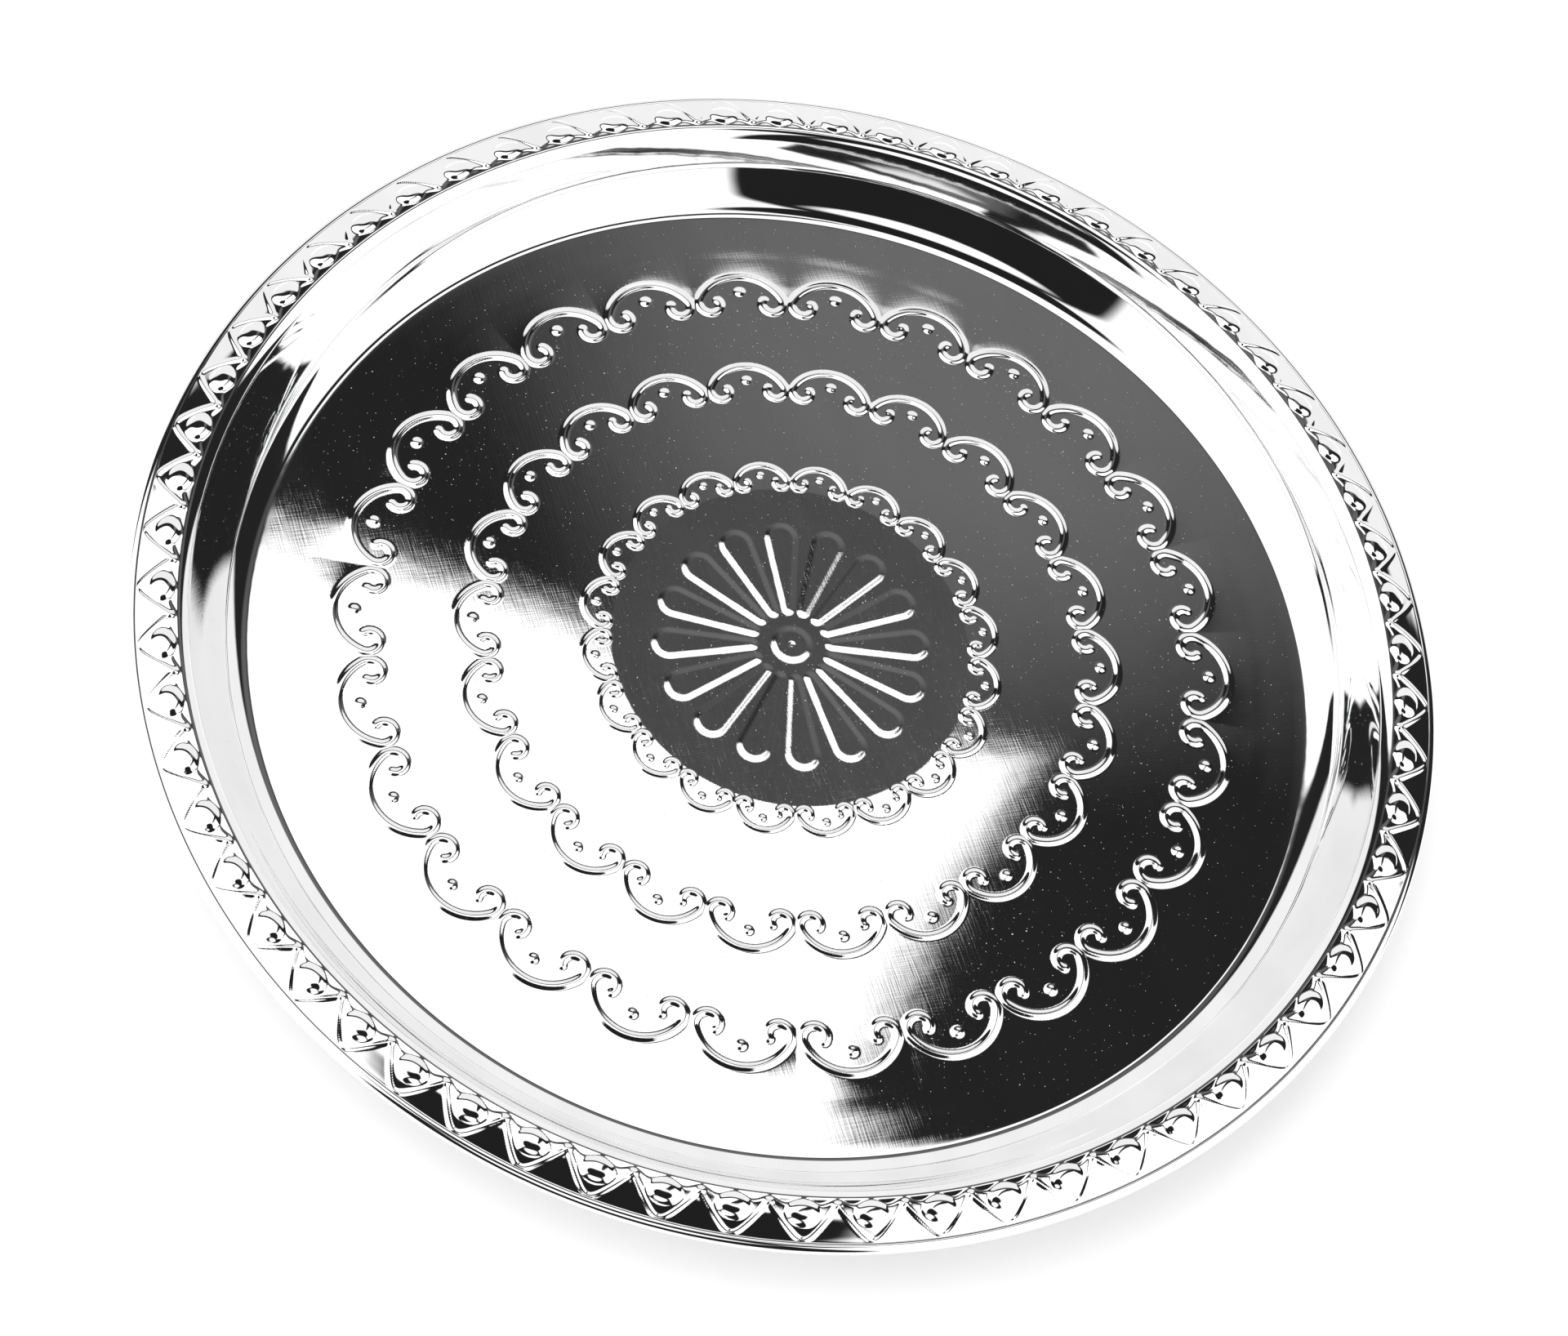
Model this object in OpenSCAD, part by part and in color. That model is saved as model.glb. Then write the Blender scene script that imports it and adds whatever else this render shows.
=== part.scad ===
// Round offering plate: one pressed sheet with a curled edge, and the wire that the edge is curled over.
// Z is up, the underside of the floor rests on z = 0, and the plate's axis is the Z axis.

/* [Plate] */
// Diameter over the curled edge
plate_d = 305; // [280:1:330]
// Thickness of the sheet
sheet = 0.5; // [0.4:0.05:0.6]
// Depth of the well, from the floor's face to the crest of the rim
well_depth = 18.35; // [16:0.05:24]

/* [Wall] */
// Inside radius of the cove between floor and wall
cove_r = 7.3; // [5:0.1:9]
// Slope at the top of the cove, in degrees
cove_slope = 52; // [45:1:56]
// Radius of the wall's long hollow curve
wall_r = 36; // [28:1:42]
// Steepest slope of the wall, in degrees
wall_slope = 66.5; // [62:0.5:70]
// Outside radius of the shoulder between wall and rim
shoulder_r = 3.3; // [2.5:0.1:4]

/* [Rim] */
// Radius of the crowned rim across its width
rim_r = 28; // [26:1:40]
// Slope of the rim where it meets the bead, in degrees
rim_slope = 18; // [14:1:20]
// Radius of the groove beside the bead
groove_r = 0.6; // [0.5:0.1:0.9]
// Slope of the bead where it leaves the groove, in degrees
bead_slope = 15; // [10:1:20]
// Outside radius of the curled bead
bead_r = 1.45; // [1.3:0.05:1.8]
// Turn of the curl past its top, in degrees
curl_turn = 255; // [220:5:260]
// Gap between the wire and the curl round it
wire_gap = 0.05; // [0.02:0.01:0.1]
// Gap between the two cut ends of the wire, in degrees
wire_cut = 0.5; // [0.2:0.1:1]

/* [Egg border] */
// Number of eggs round the rim
egg_count = 63; // [48:1:72]
// Diameter of each egg
egg_d = 5.2; // [4.6:0.1:5.4]
// Height of each egg above the rim
egg_h = 0.8; // [0.5:0.1:1]
// Distance from the crest of the rim out to the middle of each egg
egg_inset = 3; // [2.9:0.1:3.6]
// Turn of the egg border against the rings, in degrees
egg_turn = 1.9; // [0:0.1:6]

/* [Floor pattern] */
// Height of the embossed pattern
relief = 0.3; // [0.2:0.05:0.35]
// Scallops in the outer, middle and inner rings
ring_counts = [26, 22, 20];
// Radius of the circle of dots in each ring
ring_radii = [102.4, 75.2, 47.1];
// Width of a scroll's ridge, as a share of its scallop's pitch
scroll_w = 0.05; // [0.04:0.002:0.054]
// Number of petals in the rosette
petal_count = 16; // [12:1:16]
// Radius to the rosette's tips
rosette_r = 33.2; // [30:0.2:36]
// Radius to the petals' narrow ends
petal_root_r = 8.6; // [8:0.2:11]
// Radius of a petal's round end
petal_end_r = 3.9; // [3.4:0.1:4.6]
// Radius of a petal's narrow end
petal_tip_r = 1; // [0.7:0.1:1.2]
// Turn of the rosette against the rings, in degrees
rosette_turn = 4.5; // [0:0.25:11]
// Diameter of the boss in the middle
boss_d = 9; // [8:0.2:11]

/* [Hidden] */
$fn = 128;

steel = [0.80, 0.80, 0.81];
wire_steel = [0.62, 0.62, 0.63];

// Largest turn between two points along a round stretch of the section, in degrees
arc_step = 5;

// The section runs outward from the floor. A hollow curve's centre lies above the sheet,
// a crowned curve's below it, and each starts at the slope where the one before it ends.
function hollow_at(slope) = [sin(slope), -cos(slope)];
function crown_at(slope) = [-sin(slope), cos(slope)];

plate_r = plate_d / 2;
crest_z = sheet + well_depth;

// Rise and run of each stretch of the wall
cove_size = cove_r * [sin(cove_slope), 1 - cos(cove_slope)];
wall_size = wall_r * [sin(wall_slope) - sin(cove_slope), cos(cove_slope) - cos(wall_slope)];
shoulder_size = shoulder_r * [sin(wall_slope), 1 - cos(wall_slope)];
flank_rise = well_depth - cove_size[1] - wall_size[1] - shoulder_size[1];
flank_size = [flank_rise / tan(wall_slope), flank_rise];

// Run of each stretch of the rim
rim_run = rim_r * sin(rim_slope);
groove_run = groove_r * (sin(rim_slope) + sin(bead_slope));
bead_run = bead_r * (sin(bead_slope) + 1);

crest_r = plate_r - bead_run - groove_run - rim_run;
floor_r = crest_r - shoulder_size[0] - flank_size[0] - wall_size[0] - cove_size[0];

cove_c = [floor_r, sheet + cove_r];
wall_c = cove_c + (cove_r - wall_r) * hollow_at(cove_slope);
shoulder_c = [crest_r, crest_z - shoulder_r];
flank_head = shoulder_c + shoulder_r * crown_at(wall_slope);
rim_c = [crest_r, crest_z - rim_r];
groove_c = rim_c + (rim_r + groove_r) * crown_at(-rim_slope);
bead_c = groove_c + (groove_r + bead_r) * hollow_at(bead_slope);

wire_r = bead_r - sheet - wire_gap;

// Height of the rim's face, before embossing, at a radius outside the crest
function rim_z(r) = rim_c[1] + sqrt(rim_r * rim_r - (r - crest_r) * (r - crest_r));

egg_ring_r = crest_r + egg_inset;
egg_ball_r = (egg_d * egg_d / 4 + egg_h * egg_h) / (2 * egg_h);
egg_ball_z = rim_z(egg_ring_r) + egg_h - egg_ball_r;
egg_reach = egg_d / 2 + 1;

// A stretch of bent sheet between two radii, from one direction round to another
module bent(centre, inner, outer, from, to) {
    far = 2 * outer;
    steps = ceil((to - from) / 60);
    fan = [for (i = [0 : steps]) let (a = from + (to - from) * i / steps) far * [cos(a), sin(a)]];
    translate(centre) intersection() {
        difference() {
            circle(outer);
            circle(inner);
        }
        polygon(concat([[0, 0]], fan));
    }
}

// Points along a round stretch of one face, between two slopes, without the first point
function round_face(centre, radius, from, to) =
    let (steps = ceil(abs(to - from) / arc_step), side = radius < 0 ? -1 : 1)
    [for (i = [1 : steps])
        let (slope = from + (to - from) * i / steps)
        centre + abs(radius) * (side < 0 ? crown_at(slope) : hollow_at(slope))];

// One face of the sheet, from the floor's edge to the cut end of the curl.
// The upper face is at depth 0 and the lower face at a depth of one sheet.
function face_line(depth) = concat(
    [[floor_r, sheet - depth]],
    round_face(cove_c, cove_r + depth, 0, cove_slope),
    round_face(wall_c, wall_r + depth, cove_slope, wall_slope),
    [flank_head + depth * hollow_at(wall_slope)],
    round_face(shoulder_c, depth - shoulder_r, wall_slope, 0),
    round_face(rim_c, depth - rim_r, 0, -rim_slope),
    round_face(groove_c, groove_r + depth, -rim_slope, bead_slope),
    round_face(bead_c, depth - bead_r, bead_slope, bead_slope - curl_turn)
);

function reversed(points) = [for (i = [len(points) - 1 : -1 : 0]) points[i]];

module sheet_section() {
    polygon(concat([[0, 0], [0, sheet]], face_line(0), reversed(face_line(sheet))));
}

// Everything above the middle of the rim's sheet, which trims what is embossed on it
module above_rim(height) {
    inside = egg_ring_r - egg_reach;
    outside = egg_ring_r + egg_reach;
    rotate_extrude() polygon([
        [inside, rim_z(inside) - sheet / 2],
        [outside, rim_z(outside) - sheet / 2],
        [outside, height],
        [inside, height],
    ]);
}

module egg_balls(radius) {
    for (i = [0 : egg_count - 1])
        rotate(egg_turn - 360 * i / egg_count)
            translate([0, egg_ring_r, egg_ball_z]) sphere(radius, $fn = 32);
}

// One scallop: a C-shaped scroll that opens inward, with a dot inside it
module scallop(pitch) {
    $fn = 48;
    half_w = scroll_w * pitch / 2;
    arc_r = 0.465 * pitch;
    arc_y = 0.2 * pitch - arc_r;
    arc_half = 70;
    curl_r = 0.135 * pitch;
    curl_end = 235;
    curl_c = [0, arc_y] + (arc_r - curl_r) * [sin(arc_half), cos(arc_half)];
    // The curls are a little wider than the arc, and start inside its ends
    curl_half_w = 1.25 * half_w;
    curl_from = 90 - arc_half + 12;
    bent([0, arc_y], arc_r - half_w, arc_r + half_w, 90 - arc_half, 90 + arc_half);
    for (side = [0, 1]) mirror([side, 0])
        bent(curl_c, curl_r - curl_half_w, curl_r + curl_half_w, 90 - arc_half - curl_end, curl_from);
    circle(0.06 * pitch);
}

module rings() {
    for (k = [0 : len(ring_counts) - 1], i = [0 : ring_counts[k] - 1])
        rotate(-360 * (i + 0.5) / ring_counts[k])
            translate([0, ring_radii[k]]) scallop(2 * PI * ring_radii[k] / ring_counts[k]);
}

// The petals and the boss; the trimmed outline is the hollow beneath them
module rosette(trim) {
    end_y = rosette_r - petal_end_r;
    root_y = petal_root_r + petal_tip_r;
    end_r = petal_end_r - trim;
    tip_r = petal_tip_r - trim;
    lean = asin((petal_end_r - petal_tip_r) / (end_y - root_y));
    side = [cos(lean), -sin(lean)];
    flip = [-side[0], side[1]];
    // The petals' straight sides sit just inside their round ends
    waist = 0.92;
    for (i = [0 : petal_count - 1]) rotate(rosette_turn - 360 * i / petal_count) {
        translate([0, end_y]) circle(end_r);
        translate([0, root_y]) circle(tip_r);
        polygon([[0, root_y] + waist * tip_r * side, [0, end_y] + waist * end_r * side,
            [0, end_y] + waist * end_r * flip, [0, root_y] + waist * tip_r * flip]);
    }
    circle(boss_d / 2 - trim);
}

module pressed_plate() color(steel) {
    difference() {
        union() {
            rotate_extrude() sheet_section();
            intersection() {
                egg_balls(egg_ball_r);
                above_rim(crest_z + egg_h + 1);
            }
            translate([0, 0, sheet / 2]) linear_extrude(sheet / 2 + relief) {
                rings();
                rosette(0);
            }
        }
        egg_balls(egg_ball_r - sheet);
        translate([0, 0, -1]) linear_extrude(1 + relief) rosette(relief);
    }
}

module edge_wire() color(wire_steel) {
    rotate_extrude(angle = 360 - wire_cut) translate(bead_c) circle(wire_r);
}

pressed_plate();
edge_wire();
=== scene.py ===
"""Pressed steel offering plate: the looks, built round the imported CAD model."""

import math

import bpy
import numpy as np
from mathutils import Euler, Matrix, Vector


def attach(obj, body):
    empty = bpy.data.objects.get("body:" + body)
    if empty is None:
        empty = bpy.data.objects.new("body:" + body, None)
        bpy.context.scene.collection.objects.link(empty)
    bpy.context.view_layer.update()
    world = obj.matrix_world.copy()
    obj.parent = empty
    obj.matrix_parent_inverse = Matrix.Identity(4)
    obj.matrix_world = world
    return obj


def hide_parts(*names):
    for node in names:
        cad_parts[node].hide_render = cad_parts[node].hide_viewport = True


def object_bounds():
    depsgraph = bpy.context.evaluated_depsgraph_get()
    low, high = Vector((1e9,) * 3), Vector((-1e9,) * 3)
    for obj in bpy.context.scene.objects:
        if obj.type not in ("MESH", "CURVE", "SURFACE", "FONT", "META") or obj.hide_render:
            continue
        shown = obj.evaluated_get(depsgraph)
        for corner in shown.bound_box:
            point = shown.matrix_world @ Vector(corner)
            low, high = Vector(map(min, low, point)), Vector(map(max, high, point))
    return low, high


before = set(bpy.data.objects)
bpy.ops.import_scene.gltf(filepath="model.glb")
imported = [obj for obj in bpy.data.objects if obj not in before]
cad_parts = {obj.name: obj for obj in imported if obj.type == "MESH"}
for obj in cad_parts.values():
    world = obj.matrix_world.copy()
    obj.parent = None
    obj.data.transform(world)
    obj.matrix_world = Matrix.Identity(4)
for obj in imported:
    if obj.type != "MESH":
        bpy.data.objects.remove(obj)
cad_low, cad_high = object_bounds()

MM = 0.001

# ---------------------------------------------------------------- driving sizes, in millimetres
# The same plate as the CAD model: its diameter comes from the frame, and its section is the CAD
# section. Angles go clockwise from +Y, seen from above.

PLATE_R = (cad_high[0] - cad_low[0]) / 2 / MM
SHEET = 0.5
WELL_DEPTH = 18.35
COVE_R, COVE_SLOPE = 7.3, 52
WALL_R, WALL_SLOPE = 36, 66.5
SHOULDER_R = 3.3
RIM_R, RIM_SLOPE = 28, 18
GROOVE_R, BEAD_SLOPE = 0.6, 15
BEAD_R, CURL_TURN = 1.45, 255

RINGS = ((47.1, 20), (75.2, 22), (102.4, 26))  # radius of the dots, number of scallops
RIDGE_H = 0.24
RIDGE_HALF_W = 0.052  # shares of a scallop's pitch, as are the five below
ARC_R, CROWN = 0.465, 0.2
CURL_R, CURL_END_R = 0.135, 0.085
DOT_R = 0.068
ARC_HALF, CURL_END = 70, 235  # degrees
RING_INWARD, RING_OUTWARD = 0.38, 0.62  # shares of the pitch that a ring's stretch of floor takes up

# The outer ring lifts the floor inside it, which sinks back beyond the ring's arcs
LIFT_H, LIFT_FADE = 0.14, 4.5
LIFT_START_W, LIFT_END_W = 6, 5

# The shallow bowl inside the inner ring, and where the floor is back at its level
DISH_H, DISH_R, DISH_FALL_R = 0.58, 43.0, 121.0

PETALS, ROSETTE_TURN = 16, -4.5
PETAL_H, PETAL_SLOPE_W = 0.075, 1.7
PETAL_END_Y, PETAL_END_R = 29.3, 3.5
PETAL_ROOT_Y, PETAL_ROOT_R = 9.7, 1.0
BOSS_R = 4.3

EGGS, EGG_TURN = 63, 3.8
EGG_Y, EGG_HALF_W, EGG_HALF_L, EGG_H = 144.9, 3.7, 2.7, 0.6
EGG_FULLNESS = 1.7  # 1 is a plain dome, more is flatter on top
EGG_BLEND = 0.02  # how softly an egg runs out into the rim
ARCH_TIP, ARCH_ROUND, ARCH_SLOPE = 150.1, 2.6, 1.3
ARCH_HALF_W, ARCH_H = 0.7, 0.2
PEARL_Y, PEARL_R, PEARL_H = 143.0, 1.0, 0.4
LOBE_Y, LOBE_SWING, LOBE_W, LOBE_H = 142.5, 0.5, 0.8, 0.12
LOBE_FADE = (145.0, 149.0)


# ---------------------------------------------------------------- the section of the sheet


def hollow_at(slope):
    """Direction from the centre of a hollow curve to its point of that slope."""
    a = math.radians(slope)
    return np.array([math.sin(a), -math.cos(a)])


def section():
    """The floor's radius, and the centres (radius, height) of the round stretches outside it."""
    cove = COVE_R * (hollow_at(COVE_SLOPE) - hollow_at(0))
    wall = WALL_R * (hollow_at(WALL_SLOPE) - hollow_at(COVE_SLOPE))
    shoulder = SHOULDER_R * (hollow_at(WALL_SLOPE) - hollow_at(0))
    rise = WELL_DEPTH - cove[1] - wall[1] - shoulder[1]
    flank = np.array([rise / math.tan(math.radians(WALL_SLOPE)), rise])
    rim_run = RIM_R * math.sin(math.radians(RIM_SLOPE))
    groove_run = GROOVE_R * (math.sin(math.radians(RIM_SLOPE)) + math.sin(math.radians(BEAD_SLOPE)))
    bead_run = BEAD_R * (math.sin(math.radians(BEAD_SLOPE)) + 1)
    crest = np.array([PLATE_R - bead_run - groove_run - rim_run, SHEET + WELL_DEPTH])
    floor_r = crest[0] - shoulder[0] - flank[0] - wall[0] - cove[0]
    c = {"floor_r": floor_r}
    c["cove"] = np.array([floor_r, SHEET + COVE_R])
    c["wall"] = c["cove"] + (COVE_R - WALL_R) * hollow_at(COVE_SLOPE)
    c["shoulder"] = crest - [0, SHOULDER_R]
    c["rim"] = crest - [0, RIM_R]
    c["groove"] = c["rim"] - (RIM_R + GROOVE_R) * hollow_at(-RIM_SLOPE)
    c["bead"] = c["groove"] + (GROOVE_R + BEAD_R) * hollow_at(BEAD_SLOPE)
    return c


SECTION = section()


def round_rows(centre, radius, start, end, step):
    """Rows (radius, height, slope) along a round stretch; a crowned stretch has a negative radius."""
    count = max(1, math.ceil(abs(radius) * math.radians(abs(end - start)) / step))
    slopes = np.linspace(start, end, count + 1)[1:]
    return [(*(centre + radius * hollow_at(s)), s) for s in slopes]


# ---------------------------------------------------------------- heights of the pressed pattern


def bump(distance, half_width):
    """A rounded ridge: 1 on its line, 0 beyond its half width."""
    t = np.clip(np.abs(distance) / half_width, 0, 1)
    return 0.5 + 0.5 * np.cos(math.pi * t)


def rise(distance, width):
    """A rounded step from 0 to 1, centred on distance 0."""
    t = np.clip(distance / width + 0.5, 0, 1)
    return t * t * (3 - 2 * t)


def curl_distance(x, y, pitch):
    """Distance to the right-hand curl of a scroll, which tightens from its arc to its end."""
    a = math.radians(ARC_HALF)
    reach = (ARC_R - CURL_R) * pitch
    cx, cy = reach * math.sin(a), (CROWN - ARC_R) * pitch + reach * math.cos(a)
    dx, dy = x - cx, y - cy
    turn = (90 - ARC_HALF - np.degrees(np.arctan2(dy, dx))) % 360
    radius = pitch * (CURL_R + (CURL_END_R - CURL_R) * np.clip(turn / CURL_END, 0, 1))
    along = np.abs(np.hypot(dx, dy) - radius)
    last = math.radians(90 - ARC_HALF - CURL_END)
    ends = np.hypot(dx - CURL_END_R * pitch * math.cos(last), dy - CURL_END_R * pitch * math.sin(last))
    return np.where(turn <= CURL_END, along, ends)


def scroll_distance(x, y, pitch):
    """Distance to a C-shaped scroll that is centred on x = 0 and opens inward."""
    dy = y - (CROWN - ARC_R) * pitch
    on_arc = np.degrees(np.abs(np.arctan2(x, dy))) <= ARC_HALF
    arc = np.where(on_arc, np.abs(np.hypot(x, dy) - ARC_R * pitch), np.inf)
    return np.minimum(arc, curl_distance(np.abs(x), y, pitch))


def ring_edges(ring_r, count):
    """Inner and outer radius of the stretch of floor that a ring of scallops bends."""
    pitch = 2 * math.pi * ring_r / count
    return ring_r - RING_INWARD * pitch, ring_r + RING_OUTWARD * pitch


def dish(r):
    """Height of the floor apart from its pattern: a shallow bowl that sinks back, and the lift."""
    fall = DISH_H * (1 - rise(r - (DISH_R + DISH_FALL_R) / 2, DISH_FALL_R - DISH_R))
    bowl = np.where(r < DISH_R, DISH_H * (r / DISH_R) ** 2, fall)
    lifted = r < ring_edges(*RINGS[-1])[0] + 0.01
    return bowl + np.where(lifted, LIFT_H, 0)


def ring_height(ring_r, count):
    """Height function of one ring of scallops."""
    pitch = 2 * math.pi * ring_r / count
    half_w = RIDGE_HALF_W * pitch

    def height(r, turn):
        nearest = np.full(np.broadcast(r, turn).shape, np.inf)
        dots = outside = nearest
        for neighbour in (-1, 0, 1):
            a = turn + neighbour * 2 * math.pi / count
            x, y = r * np.sin(a), r * np.cos(a) - ring_r
            nearest = np.minimum(nearest, scroll_distance(x, y, pitch))
            dots = np.minimum(dots, np.hypot(x, y))
            outside = np.minimum(outside, np.hypot(x, y - (CROWN - ARC_R) * pitch) - ARC_R * pitch)
        ridge = RIDGE_H * bump(nearest, half_w)
        dot = RIDGE_H * bump(dots, DOT_R * pitch)
        if (ring_r, count) != RINGS[-1]:
            return np.maximum(ridge, dot)
        beyond = np.maximum(outside, 0) * rise(r - ring_r, LIFT_START_W)
        flat_from = ring_edges(ring_r, count)[1] - LIFT_END_W / 2
        lift = LIFT_H * np.exp(-beyond / LIFT_FADE) * (1 - rise(r - flat_from, LIFT_END_W))
        return np.maximum(ridge, dot) + lift

    return height


def petal_height(r, turn):
    """Height of the rosette's petals and of the boss in the middle."""
    x, y = np.abs(r * np.sin(turn)), r * np.cos(turn)
    length = PETAL_END_Y - PETAL_ROOT_Y
    lean = math.asin((PETAL_END_R - PETAL_ROOT_R) / length)
    along = (y - PETAL_ROOT_Y) * math.cos(lean) + x * math.sin(lean)
    side = x * math.cos(lean) - (y - PETAL_ROOT_Y) * math.sin(lean) - PETAL_ROOT_R
    root = np.hypot(x, y - PETAL_ROOT_Y) - PETAL_ROOT_R
    tip = np.hypot(x, y - PETAL_END_Y) - PETAL_END_R
    outline = np.where(along < 0, root, np.where(along > length * math.cos(lean), tip, side))
    petal = rise(-outline, PETAL_SLOPE_W)
    boss = rise(BOSS_R - r + 0 * turn, PETAL_SLOPE_W)
    return PETAL_H * np.maximum(petal, boss)


def border_height(r, turn):
    """Height of the rim's egg-and-arch border."""
    pitch = 2 * math.pi * EGG_Y / EGGS
    x = np.abs(turn) * EGG_Y
    inside = 1 - ((x / EGG_HALF_W) ** 2 + ((r - EGG_Y) / EGG_HALF_L) ** 2) ** EGG_FULLNESS
    egg = EGG_H * 0.5 * (inside + np.sqrt(inside**2 + EGG_BLEND))
    drop = np.sqrt(ARCH_ROUND**2 + (ARCH_SLOPE * x) ** 2)
    slope = ARCH_SLOPE**2 * x / drop
    arch = ARCH_H * bump((r - ARCH_TIP + drop - ARCH_ROUND) / np.sqrt(1 + slope**2), ARCH_HALF_W)
    pearl = PEARL_H * bump(np.hypot(x - pitch / 2, r - PEARL_Y), PEARL_R)
    edge = LOBE_Y - LOBE_SWING * np.cos(4 * math.pi * x / pitch)
    fade = 1 - rise(r - sum(LOBE_FADE) / 2 + 0 * x, LOBE_FADE[1] - LOBE_FADE[0])
    lobes = LOBE_H * rise(r - edge, LOBE_W) * fade
    return lobes + np.maximum(np.maximum(egg, arch), pearl)


def flat_height(r, turn):
    return 0 * r * turn


# ---------------------------------------------------------------- the closed mesh of the sheet


class Zone:
    """Rows of the sheet that share a number of columns, and the pattern pressed into them."""

    def __init__(self, rows, repeats, columns, start, height):
        self.rows = rows
        self.repeats = repeats
        self.columns = columns
        self.start = start
        self.height = height

    def points(self, depth):
        """Vertices of the zone's rows, at a depth below the upper face, row by row."""
        r, z, slope = (np.array(v)[:, None] for v in zip(*self.rows))
        sector = 2 * math.pi / self.repeats
        turn = (np.arange(self.columns) / self.columns - 0.5) * sector
        lift = np.tile(self.height(r, turn[None, :]), (1, self.repeats)) - depth + dish(r)
        a = np.radians(slope)
        angle = math.radians(self.start) + np.arange(self.total) * 2 * math.pi / self.total
        out = r - np.sin(a) * lift
        up = z + np.cos(a) * lift
        return np.stack([out * np.sin(angle), out * np.cos(angle), up + 0 * angle], axis=-1)

    @property
    def total(self):
        return self.repeats * self.columns


def floor_rows(inner, outer, step):
    count = max(1, round((outer - inner) / step))
    return [(r, SHEET, 0.0) for r in np.linspace(inner, outer, count + 1)[1:]]


def face_zones(coarse):
    """The zones of one face from the middle outward; coarse 1 is the upper face, 2 the lower one."""
    s = SECTION
    petal_turn = ROSETTE_TURN - 180 / PETALS
    egg_turn = EGG_TURN - 180 / EGGS
    zones = []

    def floor_zone(inner, outer, step, repeats, columns, start, height):
        rows = floor_rows(inner, outer, step * coarse)
        zones.append(Zone(rows, repeats, columns // coarse, start, height))

    floor_zone(0.3, 8.0, 0.35, PETALS, 12, petal_turn, petal_height)
    floor_zone(8.0, 17.0, 0.3, PETALS, 24, petal_turn, petal_height)
    floor_zone(17.0, 35.0, 0.3, PETALS, 48, petal_turn, petal_height)
    columns = (44, 56, 64)
    edge = 35.0
    for (ring_r, count), per_sector in zip(RINGS, columns):
        inner, outer = ring_edges(ring_r, count)
        floor_zone(edge, inner, 1.2, count, per_sector // 2, 0.0, flat_height)
        floor_zone(inner, outer, 0.3, count, per_sector, 0.0, ring_height(ring_r, count))
        edge = outer
    floor_zone(edge, s["floor_r"], 2.5, 256, 4, 0.0, flat_height)

    step = 0.7 * coarse
    wall = round_rows(s["cove"], COVE_R, 0, COVE_SLOPE, step)
    wall += round_rows(s["wall"], WALL_R, COVE_SLOPE, WALL_SLOPE, step)
    flank = s["shoulder"] - SHOULDER_R * hollow_at(WALL_SLOPE)
    wall += [(flank[0], flank[1], WALL_SLOPE)]
    wall += round_rows(s["shoulder"], -SHOULDER_R, WALL_SLOPE, 20, 0.3 * coarse)
    zones.append(Zone(wall, 256, 4 // coarse, 0.0, flat_height))

    rim = round_rows(s["shoulder"], -SHOULDER_R, 20, 0, 0.3 * coarse)
    rim += round_rows(s["rim"], -RIM_R, 0, -RIM_SLOPE, 0.28 * coarse)
    zones.append(Zone(rim, EGGS, 40 // coarse, egg_turn, border_height))

    bead = round_rows(s["groove"], GROOVE_R, -RIM_SLOPE, BEAD_SLOPE, 0.12 * coarse)
    bead += round_rows(s["bead"], -BEAD_R, BEAD_SLOPE, BEAD_SLOPE - CURL_TURN, 0.3 * coarse)
    zones.append(Zone(bead, EGGS, 20 // coarse, egg_turn, flat_height))
    return zones


def join_rows(a, b):
    """Triangles between two rings of points, each given as (first index, count, start in degrees)."""
    (a0, na, sa), (b0, nb, sb) = a, b
    i, j = 0, round((sa - sb) / 360 * nb)
    first = j
    faces = []
    while i < na or j < first + nb:
        next_a = sa + (i + 0.5) * 360 / na
        next_b = sb + (j + 0.5) * 360 / nb
        if j >= first + nb or (i < na and next_a <= next_b):
            faces.append((a0 + i % na, a0 + (i + 1) % na, b0 + j % nb))
            i += 1
        else:
            faces.append((a0 + i % na, b0 + (j + 1) % nb, b0 + j % nb))
            j += 1
    return faces


def grid_quads(first, rows, total):
    """Quads of a zone's own rows."""
    j = np.arange(total)
    k = np.arange(rows - 1)[:, None] * total + first
    here, after = k + j, k + (j + 1) % total
    return np.stack([here, after, after + total, here + total], axis=-1).reshape(-1, 4)


def make_mesh(name, points, quads, triangles):
    mesh = bpy.data.meshes.new(name)
    mesh.vertices.add(len(points))
    mesh.vertices.foreach_set("co", (points * MM).astype(np.float32).ravel())
    corners = np.concatenate([quads.ravel(), triangles.ravel()])
    mesh.loops.add(len(corners))
    mesh.loops.foreach_set("vertex_index", corners.astype(np.int32))
    mesh.polygons.add(len(quads) + len(triangles))
    starts = np.concatenate([np.arange(len(quads)) * 4, len(quads) * 4 + np.arange(len(triangles)) * 3])
    mesh.polygons.foreach_set("loop_start", starts.astype(np.int32))
    mesh.update(calc_edges=True)
    mesh.validate()
    mesh.shade_smooth()
    piece = bpy.data.objects.new(name, mesh)
    bpy.context.scene.collection.objects.link(piece)
    return piece


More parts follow.
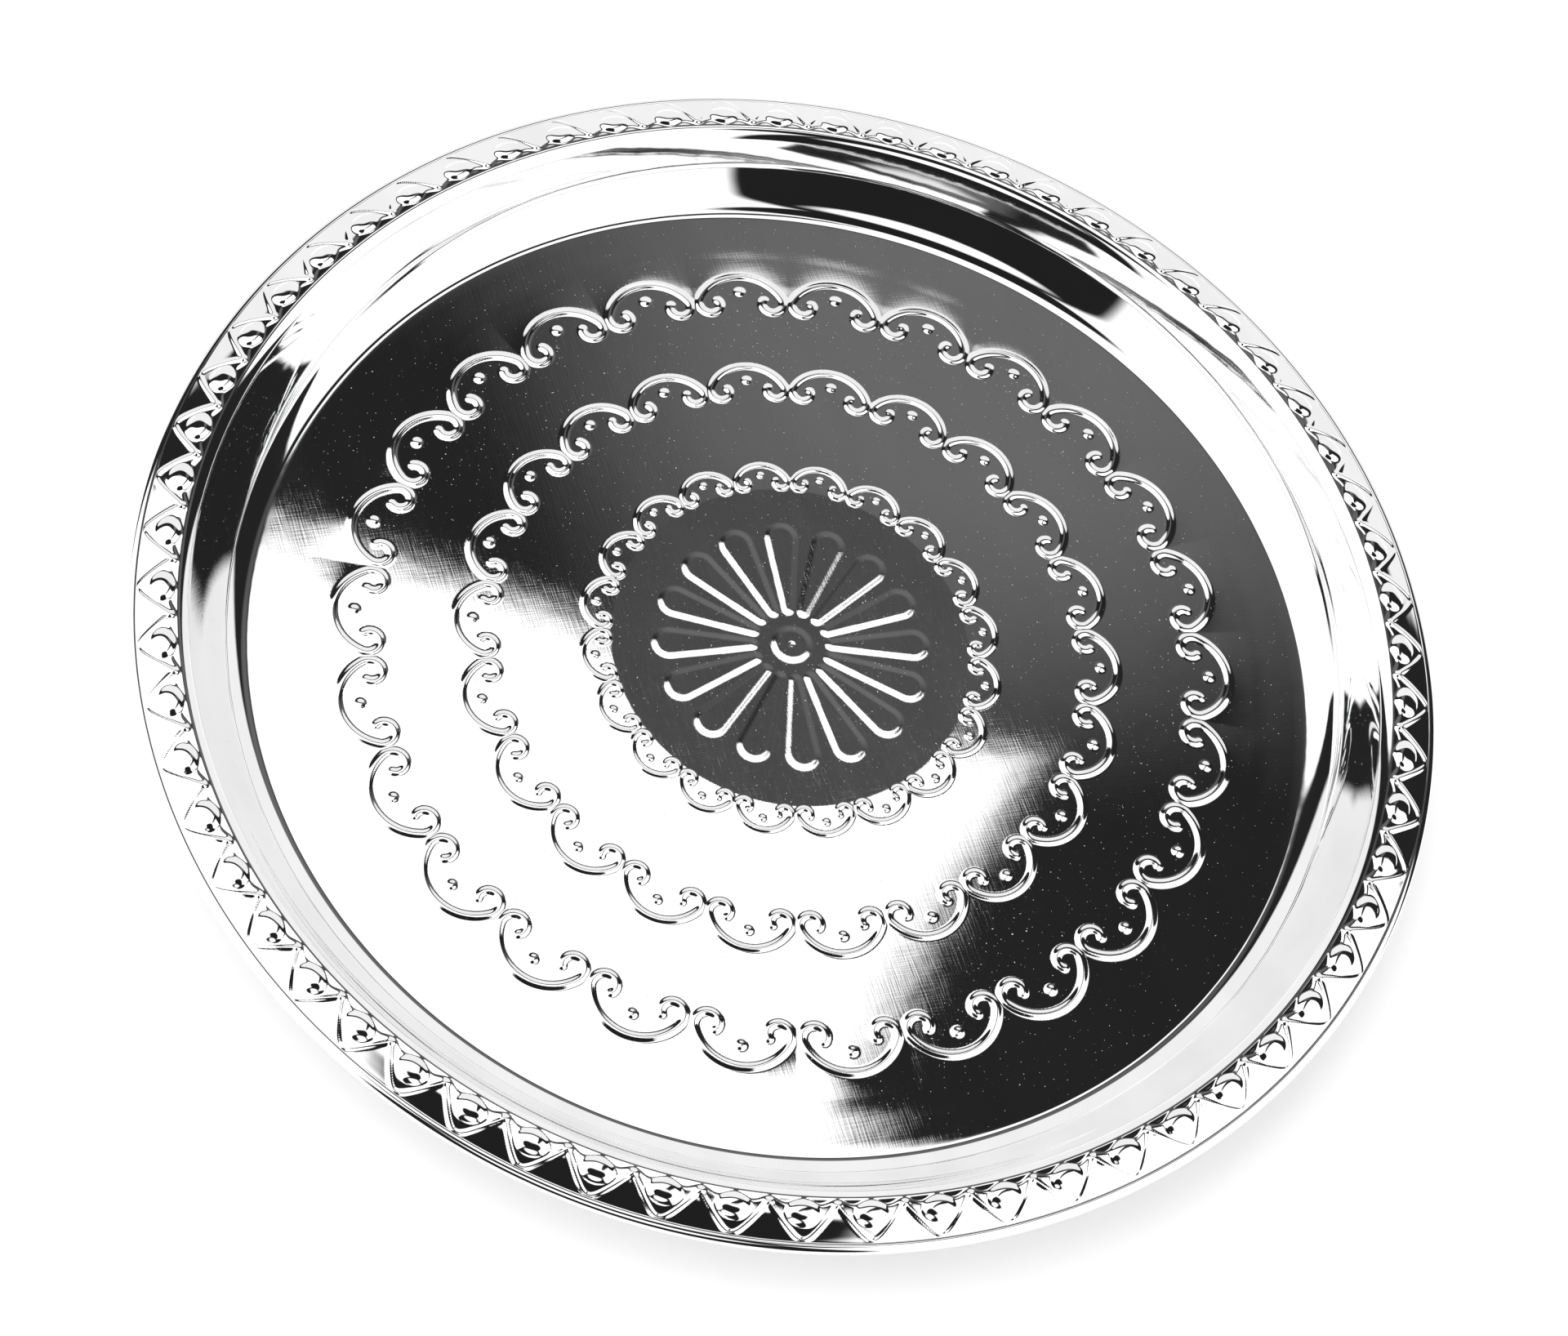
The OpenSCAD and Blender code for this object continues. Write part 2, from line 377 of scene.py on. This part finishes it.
def pressed_sheet():
    """The whole sheet: the upper face outward, round the curl's cut edge, and the lower face back."""
    faces = [(zone, 0.0, False) for zone in face_zones(1)]
    faces += [(zone, SHEET, True) for zone in reversed(face_zones(2))]
    points, quads, triangles = [np.array([[0, 0, SHEET + PETAL_H]])], [], []
    total = 1
    last = None
    for zone, depth, backward in faces:
        grid = zone.points(depth)
        if backward:
            grid = grid[::-1]
        points.append(grid.reshape(-1, 3))
        quads.append(grid_quads(total, len(grid), zone.total))
        here = (total, zone.total, zone.start)
        if last is None:
            j = np.arange(zone.total)
            fan = np.stack([0 * j, total + (j + 1) % zone.total, total + j], axis=-1)
            triangles.append(fan)
        else:
            triangles.append(np.array(join_rows(last, here)))
        total += grid.shape[0] * grid.shape[1]
        last = (total - zone.total, zone.total, zone.start)
    points.append(np.array([[0, 0, PETAL_H]]))
    j = np.arange(last[1])
    triangles.append(np.stack([last[0] + j, last[0] + (j + 1) % last[1], 0 * j + total], axis=-1))
    parts = [np.concatenate(v) for v in (points, quads, triangles)]
    return make_mesh("plate_sheet", *parts)


# ---------------------------------------------------------------- node helpers


class Nodes:
    """Short calls for building a node tree."""

    def __init__(self, tree):
        self.tree = tree
        tree.nodes.clear()

    def add(self, kind, inputs=None, **settings):
        node = self.tree.nodes.new(kind)
        for key, value in settings.items():
            setattr(node, key, value)
        for key, value in (inputs or {}).items():
            if isinstance(value, bpy.types.NodeSocket):
                self.tree.links.new(value, node.inputs[key])
            else:
                node.inputs[key].default_value = value
        return node

    def math(self, operation, a, b=0.0, c=0.0):
        return self.add("ShaderNodeMath", {0: a, 1: b, 2: c}, operation=operation).outputs[0]

    def ramp(self, value, low, high, to_low=0.0, to_high=1.0, smooth=True):
        kind = "SMOOTHSTEP" if smooth else "LINEAR"
        inputs = {"Value": value, "From Min": low, "From Max": high, "To Min": to_low, "To Max": to_high}
        return self.add("ShaderNodeMapRange", inputs, interpolation_type=kind).outputs[0]

    def blend(self, mask, a, b):
        node = self.add("ShaderNodeMix", {0: mask, 2: a, 3: b}, data_type="FLOAT")
        return node.outputs[0]

    def stretched(self, vector, turn, along, across):
        """Coordinates turned clockwise by turn degrees and scaled along and across that direction."""
        inputs = {0: vector, "Angle": math.radians(turn)}
        spun = self.add("ShaderNodeVectorRotate", inputs, rotation_type="Z_AXIS")
        scale = (1 / (across * MM), 1 / (along * MM), 1 / (across * MM))
        scaled = self.add("ShaderNodeVectorMath", {0: spun.outputs[0], 1: scale}, operation="MULTIPLY")
        return scaled.outputs[0]

    def noise(self, vector, scale=1.0, detail=2.0, roughness=0.5):
        inputs = {"Vector": vector, "Scale": scale, "Detail": detail, "Roughness": roughness}
        return self.add("ShaderNodeTexNoise", inputs).outputs[0]


# ---------------------------------------------------------------- materials

GRAIN_TURN = -18  # direction of the rolling grain, in degrees clockwise from +Y


def plate_steel():
    """Stainless sheet: rolled grain and dust specks on the floor, mirror polish on the wall and rim."""
    material = bpy.data.materials.new("plate_steel")
    material.use_nodes = True
    n = Nodes(material.node_tree)
    place = n.add("ShaderNodeTexCoord").outputs["Object"]
    split = n.add("ShaderNodeSeparateXYZ", {0: place}).outputs
    square = n.math("MULTIPLY_ADD", split[0], split[0], n.math("MULTIPLY", split[1], split[1]))
    radius = n.math("SQRT", square)
    floor = n.ramp(radius, SECTION["floor_r"] * MM, (SECTION["floor_r"] - 1.5) * MM)

    grain = n.noise(n.stretched(place, GRAIN_TURN, 10.0, 0.4), detail=3.0)
    cross_grain = n.noise(n.stretched(place, GRAIN_TURN + 96, 7.0, 0.4), detail=2.0)
    smear = n.noise(n.stretched(place, GRAIN_TURN, 40.0, 12.0), detail=2.0)
    specks = n.noise(place, scale=1900.0, detail=1.0)
    speck = n.ramp(specks, 0.745, 0.79)

    matt = n.ramp(grain, 0.3, 0.7, 0.012, 0.022)
    matt = n.math("ADD", matt, n.ramp(smear, 0.3, 0.7, 0.0, 0.012))
    rough = n.blend(floor, 0.028, matt)
    rough = n.blend(n.math("MULTIPLY", speck, floor), rough, 0.55)

    height = n.math("MULTIPLY_ADD", grain, 0.9, n.math("MULTIPLY", cross_grain, 0.35))
    height = n.math("MULTIPLY", height, floor)
    drawn = n.noise(place, scale=70.0, detail=2.0)
    fine_bump = n.add("ShaderNodeBump", {"Strength": 0.6, "Distance": 0.000007, "Height": height})
    bump_inputs = {"Strength": 0.5, "Distance": 0.00004, "Height": drawn, "Normal": fine_bump.outputs[0]}
    bumps = n.add("ShaderNodeBump", bump_inputs)

    tone = n.ramp(smear, 0.25, 0.75, 0.90, 0.95)
    colour = n.add("ShaderNodeCombineColor", {0: tone, 1: tone, 2: n.math("MULTIPLY", tone, 1.003)})
    shader = n.add("ShaderNodeBsdfPrincipled", {
        "Metallic": 1.0, "Base Color": colour.outputs[0], "Roughness": rough, "Normal": bumps.outputs[0],
    })
    n.add("ShaderNodeOutputMaterial", {0: shader.outputs[0]})
    return material


def wire_steel():
    """Drawn wire: dull grey with fine lines round its length and darker oil stains."""
    material = bpy.data.materials.new("wire_steel")
    material.use_nodes = True
    n = Nodes(material.node_tree)
    place = n.add("ShaderNodeTexCoord").outputs["Object"]
    lines = n.noise(place, scale=2600.0, detail=3.0)
    stains = n.noise(place, scale=120.0, detail=3.0)
    tone = n.ramp(stains, 0.35, 0.7, 0.62, 0.42)
    colour = n.add("ShaderNodeCombineColor", {0: tone, 1: tone, 2: tone})
    bumps = n.add("ShaderNodeBump", {"Strength": 0.4, "Distance": 0.00002, "Height": lines})
    shader = n.add("ShaderNodeBsdfPrincipled", {
        "Metallic": 1.0, "Base Color": colour.outputs[0],
        "Roughness": n.ramp(lines, 0.3, 0.7, 0.25, 0.42), "Normal": bumps.outputs[0],
    })
    n.add("ShaderNodeOutputMaterial", {0: shader.outputs[0]})
    return material


def paper():
    """Seamless pale background paper."""
    material = bpy.data.materials.new("paper")
    material.use_nodes = True
    n = Nodes(material.node_tree)
    shader = n.add("ShaderNodeBsdfPrincipled", {
        "Base Color": (0.8, 0.8, 0.8, 1), "Roughness": 0.9,
        "Emission Color": (1, 1, 1, 1), "Emission Strength": 0.3,
    })
    n.add("ShaderNodeOutputMaterial", {0: shader.outputs[0]})
    return material


# ---------------------------------------------------------------- studio

PANEL_LEVEL = 1.25
GAP_LEVEL = 0.018
HAZE_LEVEL = 0.15
BACKDROP_LEVEL = 0.95
CAMERA_LEVEL = 0.015


def direction(azimuth, elevation):
    a, e = math.radians(azimuth), math.radians(elevation)
    return (math.sin(a) * math.cos(e), math.cos(a) * math.cos(e), math.sin(e))


def studio_world():
    """White studio with an overhead panel, a pale backdrop, a dark gap between them, and the dark
    camera side. Each shape is a circle of directions: azimuth clockwise from +Y, elevation, radius."""
    world = bpy.data.worlds.new("studio")
    world.use_nodes = True
    bpy.context.scene.world = world
    n = Nodes(world.node_tree)
    look = n.add("ShaderNodeTexCoord").outputs["Generated"]

    def circle(azimuth, elevation, radius, blur=1.5):
        inputs = {0: look, 1: direction(azimuth, elevation)}
        near = n.add("ShaderNodeVectorMath", inputs, operation="DOT_PRODUCT")
        edges = [math.cos(math.radians(radius + side * blur)) for side in (1, -1)]
        return n.ramp(near.outputs["Value"], *edges)

    def both(a, b):
        return n.math("MULTIPLY", a, b)

    def either(a, b):
        return n.math("MAXIMUM", a, b)

    # The gap: everything under the panel's curved edge, and a strip beside the panel on the right
    level = PANEL_LEVEL
    below_panel = circle(15, -17, 76.6, 0.5)
    strip = both(circle(119.5, 0, 90, 0.7), circle(318, 0, 90, 2.0))
    strip = both(strip, circle(38, 67, 13, 2.0))
    gap = n.blend(circle(20, 49, 7, 6.0), GAP_LEVEL, HAZE_LEVEL)
    level = n.blend(either(below_panel, strip), level, gap)
    level = n.blend(circle(8, -8, 57, 1.2), level, BACKDROP_LEVEL)
    # The camera side: a dark column from the table up past the zenith, with a pale opening in it
    column = both(circle(252, 0, 90), circle(140, 0, 90))
    column = both(column, circle(197, 30, 75, 3.0))
    column = either(column, circle(195, 80, 16))
    column = both(column, n.math("SUBTRACT", 1.0, circle(197, 52, 15, 3.0)))
    level = n.blend(column, level, CAMERA_LEVEL)
    grey = n.add("ShaderNodeCombineColor", {0: level, 1: level, 2: level})
    background = n.add("ShaderNodeBackground", {"Color": grey.outputs[0]})
    n.add("ShaderNodeOutputWorld", {0: background.outputs[0]})


def studio_floor():
    """A pale sheet of paper under the plate."""
    half = 3.0
    mesh = bpy.data.meshes.new("studio_floor")
    below = -0.0002
    corners = [(-half, -half, below), (half, -half, below), (half, half, below), (-half, half, below)]
    mesh.from_pydata(corners, [], [(0, 1, 2, 3)])
    mesh.materials.append(paper())
    floor = bpy.data.objects.new("studio_floor", mesh)
    bpy.context.scene.collection.objects.link(floor)


def soft_key():
    """A broad soft light from the upper left that the metal doesn't mirror."""
    light = bpy.data.lights.new("soft_key", "SUN")
    light.energy = 1.1
    light.angle = math.radians(70)
    lamp = bpy.data.objects.new("soft_key", light)
    lamp.rotation_euler = Euler((math.radians(-20), math.radians(-28), 0))
    lamp.visible_glossy = False
    bpy.context.scene.collection.objects.link(lamp)


def camera():
    """The photograph's viewpoint: 59 degrees above the table, a little to the left, slightly rolled."""
    data = bpy.data.cameras.new("camera")
    data.sensor_width = 36
    data.lens = 63.7
    data.clip_end = 20
    eye = bpy.data.objects.new("camera", data)
    eye.location = (-0.10232, -0.32604, 0.5594)
    eye.rotation_euler = Euler([math.radians(a) for a in (29.462, -9.887, -0.540)])
    bpy.context.scene.collection.objects.link(eye)
    bpy.context.scene.camera = eye


# ---------------------------------------------------------------- build

camera()

sheet = pressed_sheet()
sheet.data.materials.append(plate_steel())
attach(sheet, "root")
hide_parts("pressed_plate")

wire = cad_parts["edge_wire"]
wire_finish = wire_steel()
for slot in wire.material_slots:
    slot.material = wire_finish

studio_world()
studio_floor()
soft_key()
bpy.context.scene.view_settings.view_transform = "Standard"
